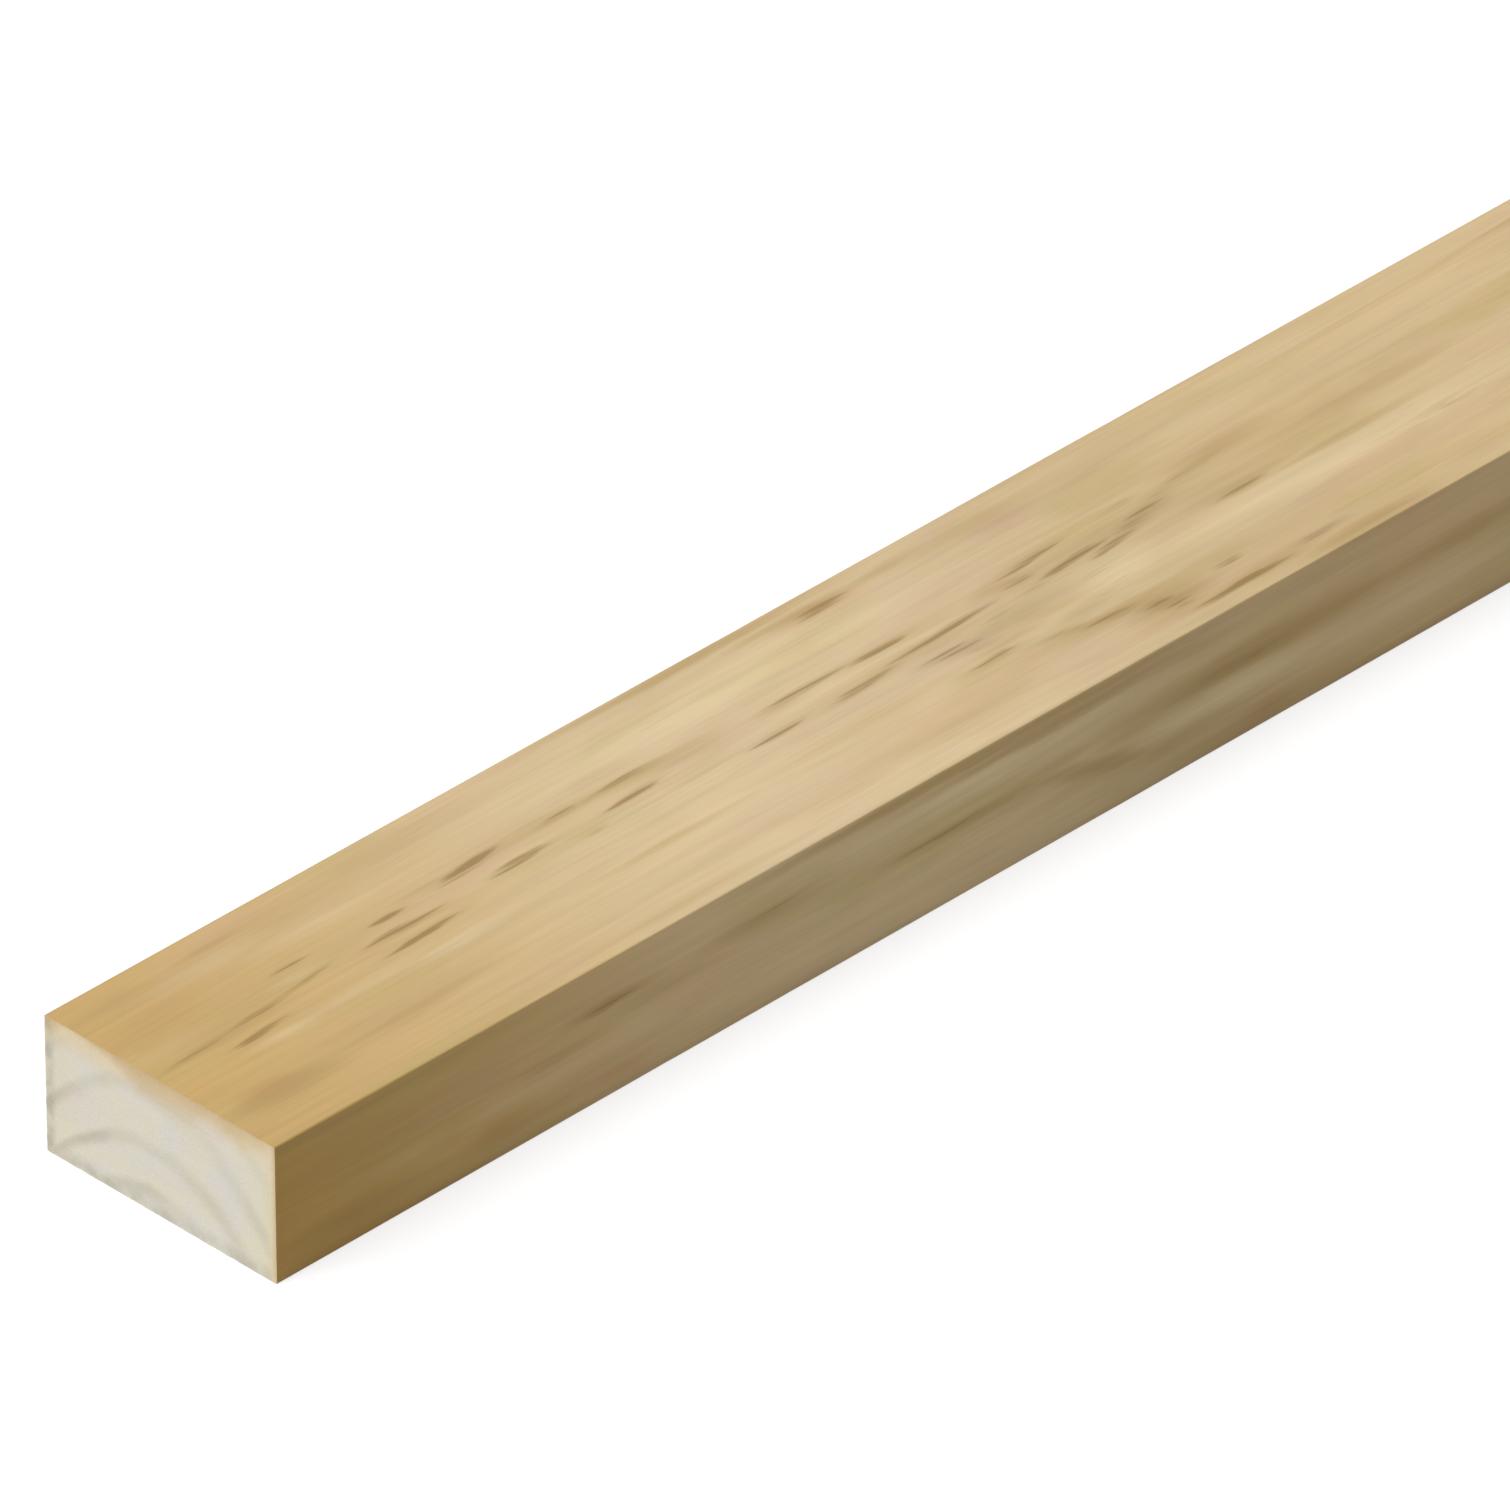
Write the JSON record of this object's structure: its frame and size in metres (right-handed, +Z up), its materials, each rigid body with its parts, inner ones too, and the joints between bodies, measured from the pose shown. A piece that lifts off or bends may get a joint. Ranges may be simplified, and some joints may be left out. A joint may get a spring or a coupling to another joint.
{
  "type": "timber plank",
  "caption": "Straight planed softwood plank of rectangular section with eased long edges and square saw-cut ends, stock for framing and general building.",
  "frame": {"origin": "middle of the underside, on the surface that the plank lies on", "axes": "+X along the length, from the end that the picture shows towards the other end; +Y across the width; +Z up through the thickness"},
  "size_m": [1.2, 0.09, 0.045],
  "materials": {
    "timber": "matte"
  },
  "bodies": {
    "root": {"plank": "timber"}
  },
  "joints": []
}
